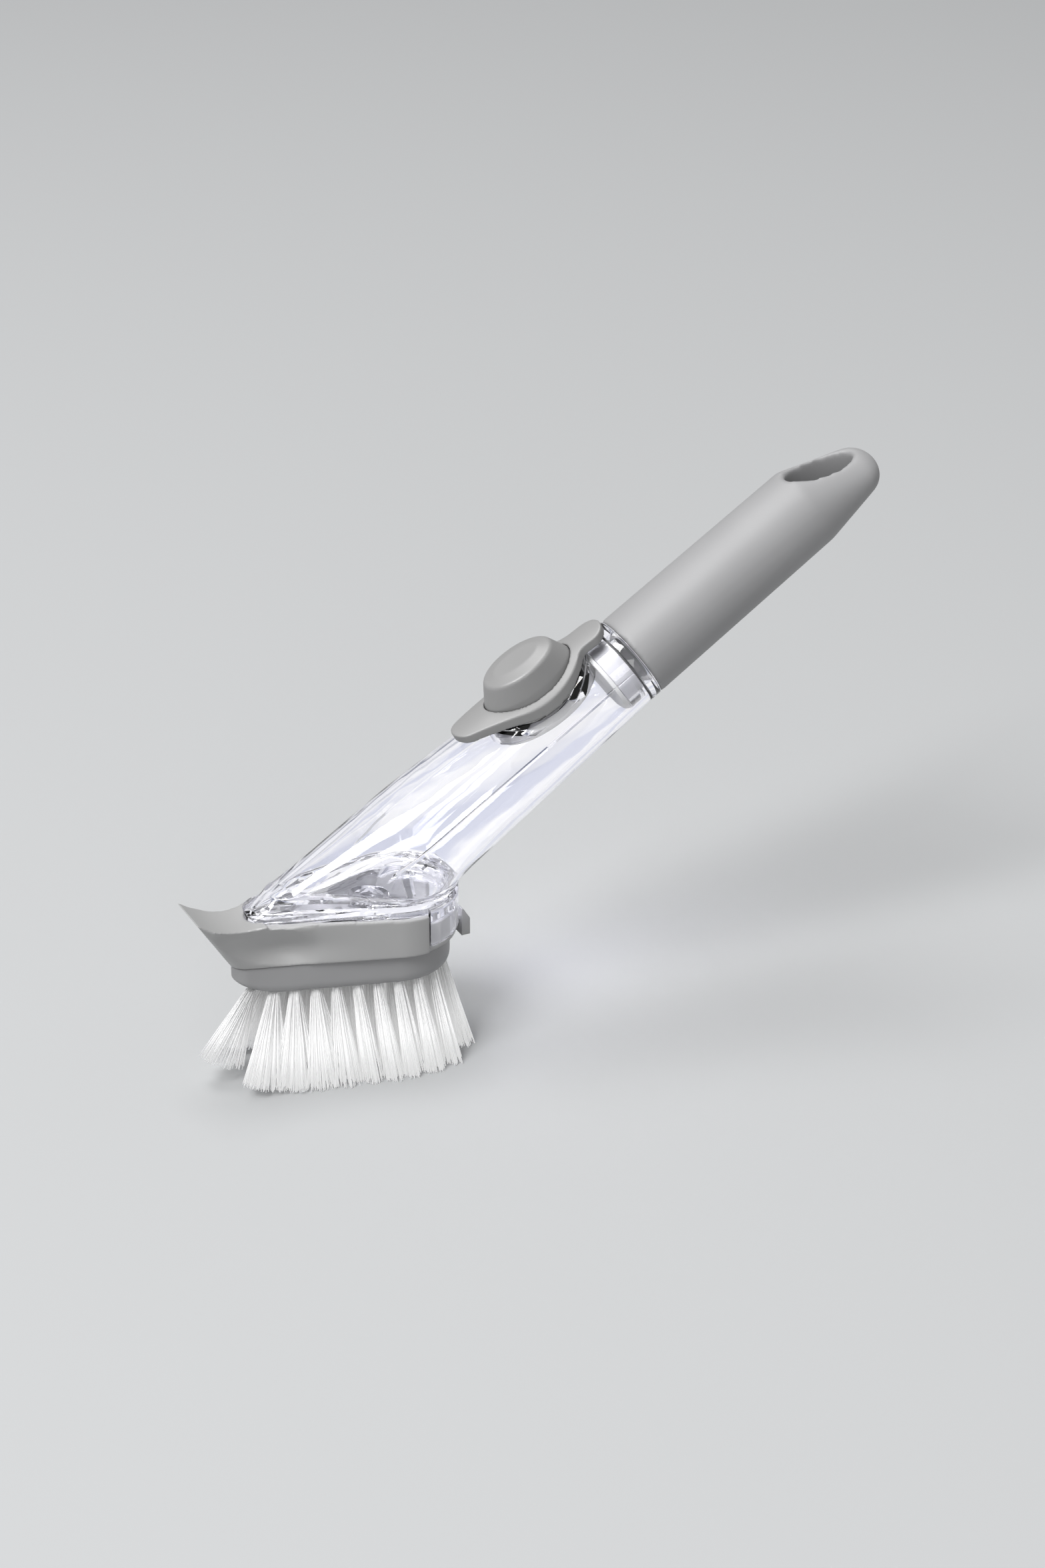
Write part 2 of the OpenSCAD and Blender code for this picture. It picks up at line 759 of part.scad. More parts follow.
function column_count(i) = i == 4 ? 3 : 1 + floor(2 * tuft_half(column_x(i)) / tuft_gap);

function row_y(i, j) = column_count(i) == 1 ? 0
    : (2 * j / (column_count(i) - 1) - 1) * tuft_half(column_x(i));

// where a tuft's tip stands, leaning outward more near the ends
function tip_of(x, y) = let (t = x / tip_run, lean = side_lean - (x < 0 ? 0 : rear_ease * t))
    [x < 0 ? x + front_lean * t + front_curl * pow(t, 3) : x + rear_lean * t * t,
     y + lean * y / max(tuft_half(x), 4),
     x < toe_x ? toe_rise * pow((toe_x - x) / 17, 2) : 0];

tufts = [for (i = [0:columns], j = [0:column_count(i) - 1])
    let (x = column_x(i), y = row_y(i, j))
    if (norm([x - outlet_x, y]) > duct_r + tuft_r + 0.9) [x, y]];

strands = [for (t = tufts, k = [0:ring_strands])
    let (tip = tip_of(t.x, t.y), turn = 360 * k / ring_strands, away = k == 0 ? 0 : tuft_r,
         way = [cos(turn), sin(turn)])
    [[t.x + away * way.x, t.y + away * way.y, block_z + slice_t / 2],
     [tip.x + tuft_spread * away * way.x, tip.y + tuft_spread * away * way.y, tip.z]]];

module bristles() {
    echo(strand_count = len(strands), tuft_count = len(tufts));
    color(white) union() {
        difference() {
            slab(block_z, block_z + slice_t) slice_outline(-0.2);
            translate([outlet_x, 0, block_z - over]) cylinder(r = duct_r, h = slice_t + 2 * over);
        }
        polyhedron(
            points = [for (s = strands, end = [0, 1], c = [0:2])
                s[end] + strand_r * [cos(120 * c), sin(120 * c), 0]],
            faces = [for (n = [0:len(strands) - 1], f = [[2, 1, 0], [3, 4, 5], [1, 3, 0], [4, 3, 1],
                [2, 4, 1], [5, 4, 2], [0, 5, 2], [3, 5, 0]]) f + 6 * n * [1, 1, 1]]);
    }
}

reservoir_shell();
foot_plate();
outlet_valve();
valve_ring();
handle_core();
mouth_gasket();
core_plug();
grip_sleeve();
pump_lid();
lid_cup();
lid_seal();
pump_button();
pump_bellows();
head_carrier();
release_latch();
brush_block();
inlet_gasket();
bristles();
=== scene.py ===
"""Soap dispensing dish wand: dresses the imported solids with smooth, detailed pieces.
Sizes are in millimetres, in the part's own frame, and become metres when a mesh is made."""

import math
import random

import bmesh
import bpy
import numpy as np
from mathutils import Matrix, Vector
from mathutils.bvhtree import BVHTree


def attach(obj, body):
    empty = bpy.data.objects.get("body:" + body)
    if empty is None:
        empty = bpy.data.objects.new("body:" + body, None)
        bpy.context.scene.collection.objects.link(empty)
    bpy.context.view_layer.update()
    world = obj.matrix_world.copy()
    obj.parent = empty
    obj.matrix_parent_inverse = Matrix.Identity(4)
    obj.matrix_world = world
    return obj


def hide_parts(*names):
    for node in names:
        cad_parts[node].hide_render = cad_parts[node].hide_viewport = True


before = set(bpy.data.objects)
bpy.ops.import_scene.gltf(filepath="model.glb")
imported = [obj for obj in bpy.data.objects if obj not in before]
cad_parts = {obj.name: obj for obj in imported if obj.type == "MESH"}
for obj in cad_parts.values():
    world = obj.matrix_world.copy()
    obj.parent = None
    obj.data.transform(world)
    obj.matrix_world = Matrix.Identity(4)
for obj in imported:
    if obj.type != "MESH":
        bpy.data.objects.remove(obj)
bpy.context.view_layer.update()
MM = 0.001

# Frames of the handle and of the lid, as the part's source has them
HANDLE_LEAN, LID_LEAN = 33.2, 29.6
TUFT_ROOT_Z = 31.0
COLLAR = Vector((109.9, 0, 120.85))
COLLAR_TURN = Matrix.Rotation(math.radians(90 - HANDLE_LEAN), 3, "Y")
LID = Vector((74, 0, 121.2))
LID_TURN = Matrix.Rotation(math.radians(-LID_LEAN), 3, "Y")
HANDLE_AXIS = COLLAR_TURN @ Vector((0, 0, 1))


def on_collar(x, y, z):
    return COLLAR + COLLAR_TURN @ Vector((x, y, z))


def on_lid(x, y, z):
    return LID + LID_TURN @ Vector((x, y, z))


def share(x, start, end):
    """How far x has come from start to end, from 0 to 1."""
    return min(max((x - start) / (end - start), 0), 1)


# Mesh helpers


def make(name, verts, faces, smooth_angle=None):
    """A mesh object from points in millimetres."""
    mesh = bpy.data.meshes.new(name)
    mesh.from_pydata([tuple(Vector(v) * MM) for v in verts], [], faces)
    mesh.validate()
    obj = bpy.data.objects.new(name, mesh)
    bpy.context.scene.collection.objects.link(obj)
    tidy_normals(obj, smooth_angle)
    return obj


def tidy_normals(obj, smooth_angle=None):
    bm = bmesh.new()
    bm.from_mesh(obj.data)
    bmesh.ops.recalc_face_normals(bm, faces=bm.faces)
    bm.to_mesh(obj.data)
    bm.free()
    obj.data.shade_smooth()
    if smooth_angle is not None:
        obj.data.set_sharp_from_angle(angle=math.radians(smooth_angle))


def apply_modifiers(obj):
    bpy.context.view_layer.update()
    graph = bpy.context.evaluated_depsgraph_get()
    mesh = bpy.data.meshes.new_from_object(obj.evaluated_get(graph), depsgraph=graph)
    obj.modifiers.clear()
    old = obj.data
    obj.data = mesh
    bpy.data.meshes.remove(old)
    return obj


def modify(obj, kind, **settings):
    modifier = obj.modifiers.new(kind.lower(), kind)
    for key, value in settings.items():
        setattr(modifier, key, value)
    return modifier


def cut(obj, other, operation):
    """Boolean with another object, which is used up."""
    modify(obj, "BOOLEAN", operation=operation, object=other, solver="EXACT")
    apply_modifiers(obj)
    mesh = other.data
    bpy.data.objects.remove(other)
    bpy.data.meshes.remove(mesh)
    return obj


def ring_faces(count, around, loop=False):
    """Quads between count rings of so many points, joined end to end if loop is true."""
    faces = []
    for k in range(count if loop else count - 1):
        a, b = k * around, ((k + 1) % count) * around
        for i in range(around):
            j = (i + 1) % around
            faces.append((a + i, a + j, b + j, b + i))
    return faces


def lathe(name, place, profile, around=96, smooth_angle=35):
    """A ring or disc turned about the local Z axis from a closed profile of (radius, z)."""
    verts = []
    for radius, z in profile:
        for i in range(around):
            turn = 2 * math.pi * i / around
            verts.append(place(radius * math.cos(turn), radius * math.sin(turn), z))
    return make(name, verts, ring_faces(len(profile), around, loop=True), smooth_angle)


def rounded(profile, radius=0.3, steps=3):
    """A closed profile with its corners rounded."""
    out = []
    n = len(profile)
    for k in range(n):
        corner = Vector(profile[k])
        before = Vector(profile[k - 1]) - corner
        after = Vector(profile[(k + 1) % n]) - corner
        reach = min(radius, before.length * 0.45, after.length * 0.45)
        start = corner + before.normalized() * reach
        end = corner + after.normalized() * reach
        for s in range(steps + 1):
            t = s / steps
            out.append(tuple((1 - t) ** 2 * start + 2 * t * (1 - t) * corner + t * t * end))
    return out


def from_node(name, node):
    """A free copy of a CAD node's mesh, with its doubled points welded."""
    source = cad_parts[node]
    bm = bmesh.new()
    bm.from_mesh(source.data)
    bmesh.ops.remove_doubles(bm, verts=bm.verts, dist=1e-6)
    bmesh.ops.recalc_face_normals(bm, faces=bm.faces)
    mesh = bpy.data.meshes.new(name)
    bm.to_mesh(mesh)
    bm.free()
    obj = bpy.data.objects.new(name, mesh)
    bpy.context.scene.collection.objects.link(obj)
    return obj


def moulded(name, node, voxel, rounds):
    """A CAD node remade as one even skin with softly rounded edges."""
    obj = from_node(name, node)
    modify(obj, "REMESH", mode="VOXEL", voxel_size=voxel * MM, adaptivity=0)
    modify(obj, "SMOOTH", factor=0.5, iterations=rounds)
    apply_modifiers(obj)
    obj.data.shade_smooth()
    return obj


def soften(obj, inside, rounds):
    """Evens out the part of a fine mesh whose points, in millimetres, pass a test."""
    bm = bmesh.new()
    bm.from_mesh(obj.data)
    chosen = [v for v in bm.verts if inside(v.co / MM)]
    for _ in range(rounds):
        bmesh.ops.smooth_vert(bm, verts=chosen, factor=0.5,
                              use_axis_x=True, use_axis_y=True, use_axis_z=True)
    bm.to_mesh(obj.data)
    bm.free()


def hollow(obj, centre, size, depth):
    """Presses both outer sides inward round a point (x, z), fading over a size (x, z)."""
    for vertex in obj.data.vertices:
        x, y, z = vertex.co / MM
        side = 1 if y > 0 else -1
        if vertex.normal.y * side > 0.3:
            away = ((x - centre[0]) / size[0]) ** 2 + ((z - centre[1]) / size[1]) ** 2
            vertex.co.y -= side * depth * math.exp(-away) * MM


def crisp(name, node, width=0.25, angle=35):
    """A CAD node with its own faces and finely bevelled edges."""
    obj = from_node(name, node)
    bm = bmesh.new()
    bm.from_mesh(obj.data)
    bmesh.ops.dissolve_limit(bm, angle_limit=math.radians(0.5), verts=bm.verts, edges=bm.edges)
    bm.to_mesh(obj.data)
    bm.free()
    modify(obj, "BEVEL", width=width * MM, segments=2, limit_method="ANGLE",
           angle_limit=math.radians(angle), harden_normals=False)
    apply_modifiers(obj)
    obj.data.shade_smooth()
    obj.data.set_sharp_from_angle(angle=math.radians(angle))
    return obj


# Materials


def colour(text):
    """Linear colour from an sRGB hex value."""
    parts = [int(text[i:i + 2], 16) / 255 for i in (1, 3, 5)]
    linear = [c / 12.92 if c <= 0.04045 else ((c + 0.055) / 1.055) ** 2.4 for c in parts]
    return (*linear, 1.0)


def add(tree, kind, inputs=None, **settings):
    """A shader node with its settings, and its inputs as values or as links from other sockets."""
    made = tree.nodes.new(kind)
    for key, value in settings.items():
        setattr(made, key, value)
    for key, value in (inputs or {}).items():
        socket = made.inputs[key]
        if isinstance(value, bpy.types.NodeSocket):
            tree.links.new(value, socket)
        else:
            socket.default_value = value
    return made


def new_material(name):
    material = bpy.data.materials.new(name)
    material.use_nodes = True
    material.node_tree.nodes.clear()
    return material, material.node_tree


def finish_material(tree, shader, volume=None):
    out = add(tree, "ShaderNodeOutputMaterial", {"Surface": shader})
    if volume is not None:
        tree.links.new(volume, out.inputs["Volume"])


def moulded_plastic(name, low, high, roughness, grain, depth, coat=0.0, sheen=0.0):
    """Moulded grey plastic or rubber: a cloudy tone in patches of about 22 mm, and a fine grain
    of its own size and depth in millimetres, which also varies the roughness a little."""
    material, tree = new_material(name)
    place = add(tree, "ShaderNodeTexCoord").outputs["Object"]
    cloud = add(tree, "ShaderNodeTexNoise", {"Vector": place, "Scale": 45.0, "Detail": 3.0})
    tone = add(tree, "ShaderNodeMix", {
        "Factor": cloud.outputs["Fac"], "A": colour(low), "B": colour(high)}, data_type="RGBA")
    speck = add(tree, "ShaderNodeTexNoise", {
        "Vector": place, "Scale": 1000.0 / grain, "Detail": 2.0})
    rough = add(tree, "ShaderNodeMapRange", {
        "Value": speck.outputs["Fac"], "To Min": roughness - 0.05, "To Max": roughness + 0.05})
    bump = add(tree, "ShaderNodeBump", {
        "Height": speck.outputs["Fac"], "Strength": 0.35, "Distance": depth * MM})
    shader = add(tree, "ShaderNodeBsdfPrincipled", {
        "Base Color": tone.outputs["Result"], "Roughness": rough.outputs["Result"],
        "Normal": bump.outputs["Normal"], "IOR": 1.48, "Coat Weight": coat, "Coat Roughness": 0.3,
        "Sheen Weight": sheen, "Sheen Roughness": 0.5})
    finish_material(tree, shader.outputs["BSDF"])
    return material


# Soft-touch rubber, moulded: matte, with a faint dusty sheen towards its edges.
soft_grip = moulded_plastic("soft_touch_rubber", "#7c7c7d", "#828283", 0.52, 0.35, 0.02,
                            sheen=0.05)
# Lid and button, moulded polypropylene: satin, a shade darker than the grip.
lid_grey = moulded_plastic("satin_polypropylene_lid", "#757575", "#7b7b7b", 0.42, 0.3, 0.015,
                           coat=0.1)
# Head, moulded polypropylene: satin with a slightly waxy light.
head_grey = moulded_plastic("satin_polypropylene_head", "#868686", "#8c8c8c", 0.38, 0.3, 0.015,
                            coat=0.25)
# Block, moulded polypropylene: the head's grey, made a little deeper as painted shade from the
# head above it.
block_grey_painted_shade = moulded_plastic("satin_polypropylene_block_painted_shade", "#79797a", "#7f7f80", 0.42, 0.3, 0.015,
                             coat=0.1)
# Inner polypropylene seen through the clear tank: a paler, plain grey.
inner_grey = moulded_plastic("inner_polypropylene", "#a2a2a0", "#ababa9", 0.4, 0.3, 0.01)
# Moulded rubber of the lid's seal: dull mid grey.
seal_grey = moulded_plastic("grey_rubber_seal", "#6c6c6e", "#767678", 0.5, 0.2, 0.01)
# Moulded rubber of the joint's gasket: a thin dark line.
dark_rubber = moulded_plastic("dark_rubber_gasket", "#38383a", "#434345", 0.6, 0.2, 0.01)


def clear_plastic(name, tint, roughness, ior, ripple):
    """Clear moulded plastic: walls that refract, a faint cool tint, and flow ripples about 8 mm
    wide that run along the handle. Rays that have crossed many walls go straight on, so that no
    deep pocket turns black."""
    material, tree = new_material(name)
    place = add(tree, "ShaderNodeTexCoord").outputs["Object"]
    along = add(tree, "ShaderNodeMapping", {
        "Vector": place, "Rotation": (0, math.radians(HANDLE_LEAN), 0), "Scale": (0.08, 1, 1)})
    flow = add(tree, "ShaderNodeTexNoise", {
        "Vector": along.outputs["Vector"], "Scale": 130.0, "Detail": 1.0})
    bump = add(tree, "ShaderNodeBump", {
        "Height": flow.outputs["Fac"], "Strength": 0.6, "Distance": ripple * MM})
    mist = add(tree, "ShaderNodeMapRange", {
        "Value": flow.outputs["Fac"], "To Min": roughness, "To Max": roughness + 0.02})
    shader = add(tree, "ShaderNodeBsdfPrincipled", {
        "Base Color": colour(tint), "Roughness": mist.outputs["Result"], "IOR": ior,
        "Transmission Weight": 1.0, "Normal": bump.outputs["Normal"]})
    path = add(tree, "ShaderNodeLightPath")
    open_shadow = add(tree, "ShaderNodeBsdfTransparent", {"Color": (0.93, 0.93, 0.95, 1)})
    deep = add(tree, "ShaderNodeMath", {
        0: path.outputs["Ray Depth"], 1: 6.5}, operation="GREATER_THAN")
    straight = add(tree, "ShaderNodeMath", {
        0: path.outputs["Is Shadow Ray"], 1: deep.outputs["Value"]}, operation="MAXIMUM")
    mix = add(tree, "ShaderNodeMixShader", {
        0: straight.outputs["Value"], 1: shader.outputs["BSDF"], 2: open_shadow.outputs["BSDF"]})
    finish_material(tree, mix.outputs["Shader"])
    return material


# Polished clear styrene of the tank: bright, with cool edges.
clear = clear_plastic("clear_styrene", "#fdfdff", 0.01, 1.5, 0.3)
# The same styrene with hardly a ripple, for the foot, the collar and the valve's ring.
clear_part = clear_plastic("clear_styrene_part", "#fdfdff", 0.01, 1.5, 0.02)
# Silicone of the valve, the gasket and the bellows: milky and soft to the light.
silicone = clear_plastic("milky_silicone", "#e4e4e6", 0.3, 1.41, 0.1)


def nylon_material():
    """White nylon filaments: slightly see-through, with streaks about 1 mm wide. Painted shade
    greys them near the root, and painted light makes them brighter towards their tips."""
    material, tree = new_material("white_nylon")
    place = add(tree, "ShaderNodeTexCoord").outputs["Object"]
    height = add(tree, "ShaderNodeSeparateXYZ", {"Vector": place})
    # Painted shade: the filaments turn greyer towards the root, mixed with the streaks.
    shade = add(tree, "ShaderNodeMapRange", {
        "Value": height.outputs["Z"], "From Min": 0.0, "From Max": TUFT_ROOT_Z * MM,
        "To Min": 0.0, "To Max": 1.0})
    streak = add(tree, "ShaderNodeTexNoise", {"Vector": place, "Scale": 900.0, "Detail": 1.0})
    mixed = add(tree, "ShaderNodeMath", {
        0: shade.outputs["Result"], 1: streak.outputs["Fac"]}, operation="MULTIPLY")
    tone = add(tree, "ShaderNodeMix", {
        "Factor": mixed.outputs["Value"], "A": colour("#ffffff"), "B": colour("#e6e6e6")},
        data_type="RGBA")
    # Painted light: a white emission, strongest at the tips and fading to little at the root.
    painted_tip_light = add(tree, "ShaderNodeMapRange", {
        "Value": height.outputs["Z"], "From Min": 0.0, "From Max": 0.03,
        "To Min": 0.22, "To Max": 0.02})
    shader = add(tree, "ShaderNodeBsdfPrincipled", {
        "Base Color": tone.outputs["Result"], "Roughness": 0.4, "IOR": 1.53,
        "Emission Color": (1, 1, 1, 1), "Emission Strength": painted_tip_light.outputs["Result"]})
    through = add(tree, "ShaderNodeBsdfTranslucent", {"Color": tone.outputs["Result"]})
    mix = add(tree, "ShaderNodeMixShader", {
        0: 0.45, 1: shader.outputs["BSDF"], 2: through.outputs["BSDF"]})
    finish_material(tree, mix.outputs["Shader"])
    return material


nylon = nylon_material()


def dress(obj, body, material, node):
    """Gives a piece its material, hangs it on its body, and hides the CAD node that it stands for.
    """
    obj.data.materials.clear()
    obj.data.materials.append(material)
    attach(obj, body)
    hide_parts(node)


# Clear tank: a ring of outer and inner sections that fan from the foot to the round tube

AROUND = 160
WALL = 2
FOOT_REAR, FOOT_REAR_R = 25, 19.9
FOOT_NOSE, FOOT_NOSE_R = -21.5, 5.2
FOOT_X, FOOT_LOW = 9.1, 57
TUBE_LOW, TUBE_TOP = -88.0, -2.64
TUBE_LOW_R, TUBE_TOP_R, TUBE_RISE = 19.1, 15, 1.7
FAN_START, FAN_TURN = 4.7, 52.1
RIM_Z, RIM_SLOPE = 56.0, 2.2


def teardrop(big_x, big_r, small_x, small_r, z, steps=72):
    """Points of the outline round a wide circle and a narrow circle at height z."""
    lean = math.asin((big_r - small_r) / (big_x - small_x))
    out = []
    arcs = ((big_x, big_r, -math.pi / 2 - lean, math.pi / 2 + lean),
            (small_x, small_r, math.pi / 2 + lean, 1.5 * math.pi - lean))
    for centre, radius, start, end in arcs:
        for k in range(steps):
            turn = start + (end - start) * k / (steps - 1)
            out.append(Vector((centre + radius * math.cos(turn), radius * math.sin(turn), z)))
    return out


def tube_ring(run, radius, rise):
    """A round ring across the handle, at a distance from the collar."""
    turns = [2 * math.pi * i / AROUND for i in range(AROUND)]
    return [on_collar(-rise - radius * math.cos(turn), -radius * math.sin(turn), run)
            for turn in turns]


def hull_of(points):
    """The skin stretched round some points, ready to be met by rays."""
    bm = bmesh.new()
    for p in points:
        bm.verts.new(p)
    made = bmesh.ops.convex_hull(bm, input=bm.verts)
    loose = [g for g in made["geom_interior"] if isinstance(g, bmesh.types.BMVert)]
    bmesh.ops.delete(bm, geom=loose, context="VERTS")
    tree = BVHTree.FromBMesh(bm)
    bm.free()
    return tree


def section(tree, centre, along, reach_along, reach_side):
    """One ring of points where rays from the centre meet the hull."""
    side = Vector((0, -1, 0))
    ring = []
    for i in range(AROUND):
        turn = 2 * math.pi * i / AROUND
        way = along * reach_along * math.cos(turn) + side * reach_side * math.sin(turn)
        ring.append(tree.ray_cast(centre, way.normalized())[0])
    return ring


def lip_z(x):
    """Height of the foot's upper edge, which rises towards the nose."""
    return 58.6 + 2.4 * share(x, 25, -26) ** 1.2


def rim_top(x):
    """Height of the head's rim, or of the foot's own edge where the rim has ended."""
    return min(RIM_Z - x * math.tan(math.radians(RIM_SLOPE)), 56.4)


def bead_z(x):
    """Height of the bead above the lip; the two run together at the rear."""
    return lip_z(x) + 0.9 + 3.0 * share(x, 30, -5)


def outward(ring, i):
    """The level direction out of a ring at its point i."""
    run = ring[(i + 1) % AROUND] - ring[i - 1]
    way = Vector((-run.y, run.x, 0)).normalized()
    return way if way.dot(ring[i] - Vector((FOOT_X, 0, ring[i].z))) > 0 else -way


def grow_ring(ring, amounts):
    """A ring with each point moved outward, level, by its own amount."""
    return [point + outward(ring, i) * amounts[i] for i, point in enumerate(ring)]


def contour(tree, height_at):
    """A ring on the hull whose height follows a rule of x."""
    ring = []
    for i in range(AROUND):
        turn = 2 * math.pi * i / AROUND
        way = Vector((-36 * math.cos(turn), -20 * math.sin(turn), 0)).normalized()
        z = 59.0
        for _ in range(4):
            hit = tree.ray_cast(Vector((FOOT_X, 0, z)), way)[0]
            z = height_at(hit.x)
        ring.append(tree.ray_cast(Vector((FOOT_X, 0, z)), way)[0])
    return ring


def facets(rng, count):
    """A broken line of values from 0 to 1 round the ring, symmetric about its middle."""
    knots = [rng.random() for _ in range(count + 1)]
    out = []
    for i in range(AROUND):
        at = min(i, AROUND - i) * 2 / AROUND * count
        k = min(int(at), count - 1)
        out.append(knots[k] + (knots[k + 1] - knots[k]) * (at - k))
    return out


def tank_rings(shrink, low, top, root):
    """Rings of the tank's outside, or of its inside when shrunk by the wall, from the foot up.
    The root is a list of (height rule, outward step, depth of facets) for the foot's rings."""
    outline = (FOOT_REAR, FOOT_REAR_R - shrink, FOOT_NOSE, FOOT_NOSE_R - shrink)
    low_r, top_r = TUBE_LOW_R - shrink, TUBE_TOP_R - shrink
    points = teardrop(*outline, low) + teardrop(*outline, top)
    points += tube_ring(TUBE_LOW, low_r, TUBE_RISE) + tube_ring(TUBE_LOW + 0.5, low_r, TUBE_RISE)
    tree = hull_of(points)
    rng = random.Random(5)
    rings = []
    for height_at, step, depth in root:
        ring = contour(tree, height_at)
        amounts = [step - depth * f for f in facets(rng, 11)]
        if shrink:
            amounts = [a * max(share(p.x, -25, -3), 0.12) for a, p in zip(amounts, ring)]
        rings.append(grow_ring(ring, amounts))
    # Between foot and tube the rings fan out from a point under the tube's rear side.
    disc = on_collar(-TUBE_RISE, 0, TUBE_LOW)
    pivot_x = disc.x + HANDLE_AXIS.z * (disc.z - top) / HANDLE_AXIS.x
    pivot = Vector((pivot_x - shrink - 1.5, 0, top + 0.6))
    steps = 16
    for k in range(steps):
        lean = math.radians(FAN_START + FAN_TURN * (k + 0.35) / steps)
        way = Vector((-math.cos(lean), 0, math.sin(lean)))
        far = tree.ray_cast(pivot, way)[0]
        near = tree.ray_cast(pivot, -way)[0]
        middle = (far + near) / 2
        rings.append(section(tree, middle, way, (far - near).length / 2, 19 - shrink))
    steps = 14
    for k in range(steps + 1):
        t = k / steps
        run = (TUBE_LOW + 1) * (1 - t) + TUBE_TOP * t
        rings.append(tube_ring(run, low_r * (1 - t) + top_r * t, TUBE_RISE * (1 - t)))
    # The creases between the slope and the tube are eased.
    for _ in range(3):
        eased = [list(r) for r in rings]
        for k in range(len(root) + 1, len(rings) - 4):
            for i in range(AROUND):
                eased[k][i] = rings[k][i] * 0.5 + (rings[k - 1][i] + rings[k + 1][i]) * 0.25
        rings = eased
    return rings


def bulge(x, most):
    """Extra growth towards the nose."""
    return most * share(x, 6, -26)


# The root outside: a skirt that hangs to the head's rim, the lip, a groove and a bead
outer = tank_rings(0, FOOT_LOW, 59.6, [
    (lambda x: 57.01, -0.94, 0), (lambda x: 57.011, -0.94, 0), (lambda x: 57.012, -0.4, 0),
    (lambda x: 57.013, -0.1, 0), (lambda x: lip_z(x) - 0.6, 0.1, 0),
    (lambda x: lip_z(x) - 0.1, 0.0, 0), (lambda x: lip_z(x) + 0.15, -0.3, 0),
    (lambda x: lip_z(x) + 0.5, -0.8, 0), (lambda x: lip_z(x) * 0.4 + bead_z(x) * 0.6, -0.7, 0),
    (lambda x: bead_z(x) - 0.1, 0.0, 0), (lambda x: bead_z(x) + 0.3, 0.2, 0),
    (lambda x: bead_z(x) + 0.8, 0.0, 0)])
NOSE_GROWTH = (0.0, 0.0, 0.2, 0.5, 1.9, 2.0, 1.8, 1.5, 1.4, 1.6, 1.5, 1.2, 0.9, 0.6, 0.3)
for k, most in enumerate(NOSE_GROWTH):
    outer[k] = grow_ring(outer[k], [bulge(point.x, most) for point in outer[k]])
for k, drop in ((1, 0.15), (2, 0.1), (3, 0.5)):
    outer[k] = [Vector((p.x, p.y, rim_top(p.x) + drop)) for p in outer[k]]
# The root inside: thick at the bottom, with the flat facets that glitter through the wall
inner = tank_rings(WALL, FOOT_LOW, 58.6, [
    (lambda x: 57.01, -3.2, 0.0), (lambda x: 57.5, -2.9, 0.8), (lambda x: 58.3, -2.4, 1.2),
    (lambda x: lip_z(x) + 0.4, -1.7, 1.2),
    (lambda x: lip_z(x) * 0.5 + bead_z(x) * 0.5 + 0.4, -1.2, 1.1),
    (lambda x: bead_z(x) + 0.3, -0.8, 0.9), (lambda x: bead_z(x) + 0.9, -0.4, 0.6)])
# A fine line runs inside each side of the tube, where the mould's halves met.
LINE_AT = 33
for ring in inner[12:-1]:
    for i in (LINE_AT, AROUND - LINE_AT):
        middle = (ring[(i + 40) % AROUND] + ring[i - 40]) / 2
        ring[i] = ring[i] + (middle - ring[i]).normalized() * 0.45
shell_rings = outer + inner[::-1]
TANK_SMOOTH = 28
tank = make("tank", [p for r in shell_rings for p in r],
            ring_faces(len(shell_rings), AROUND, loop=True), TANK_SMOOTH)


def oval_block(name, place, half_l, half_w, low, top_of, around=96):
    """An oval prism whose top follows a given height."""
    verts = []
    for size, is_top in ((1, False), (1, True), (0.9, True)):
        for i in range(around):
            turn = 2 * math.pi * i / around
            x, y = half_l * math.cos(turn) * size, half_w * math.sin(turn) * size
            verts.append(place(x, y, top_of(y) if is_top else low))
    faces = ring_faces(3, around)
    verts += [place(0, 0, low), place(0, 0, top_of(0))]
    for i in range(around):
        j = (i + 1) % around
        faces.append((i, j, 3 * around))
        faces.append((2 * around + i, 2 * around + j, 3 * around + 1))
    return make(name, verts, faces, 40)


# The raised oval seat under the lid, and the port through it
SEAT_R, SEAT_DROP = 18.5 - 3 - 0.6, 17
seat = oval_block("seat_body", on_lid, 20.5, 13.6, -11,
                  lambda y: -SEAT_DROP + math.sqrt(max(SEAT_R ** 2 - y * y, 1)))
port = oval_block("port_cut", on_lid, 18.9, 12.0, -14, lambda y: 6)
cut(tank, seat, "UNION")
cut(tank, port, "DIFFERENCE")
tidy_normals(tank, TANK_SMOOTH)
dress(tank, "wand", clear, "reservoir_shell")

# Clear foot, collar and inner pieces
foot = crisp("foot", "foot_plate", 0.2)
dress(foot, "wand", clear_part, "foot_plate")

collar = lathe("collar", on_collar, rounded([
    (15, -2), (15, 1.98), (8, 1.98), (8, 1.9), (10.6, 1.9),
    (10.6, -9.4), (12.95, -9.4), (12.95, -2)], 0.4))
dress(collar, "wand", clear_part, "handle_core")
gasket = lathe("joint_gasket", on_collar, rounded([
    (14.9, -2.62), (14.9, -2.02), (13.02, -2.02), (13.02, -2.62)], 0.15))
dress(gasket, "wand", dark_rubber, "mouth_gasket")
plug = lathe("mouth_plug", on_collar, rounded([
    (11.8, -10.8), (12.7, -9.42), (10.58, -9.42), (10.58, -2.02),
    (7, -2.02), (7, -9.4), (0.01, -9.4), (0.01, -10.8)], 0.3))
dress(plug, "wand", inner_grey, "core_plug")

# Grip, lid and button
grip = moulded("grip", "grip_sleeve", 0.8, 14)
dress(grip, "wand", soft_grip, "grip_sleeve")

lid = moulded("lid_plate", "pump_lid", 0.33, 4)
dress(lid, "lid", lid_grey, "pump_lid")
button = moulded("button", "pump_button", 0.4, 4)
dress(button, "button", lid_grey, "pump_button")
cup = crisp("cup", "lid_cup", 0.15)
dress(cup, "lid", inner_grey, "lid_cup")
seal = crisp("cup_seal", "lid_seal", 0.1)
dress(seal, "lid", seal_grey, "lid_seal")

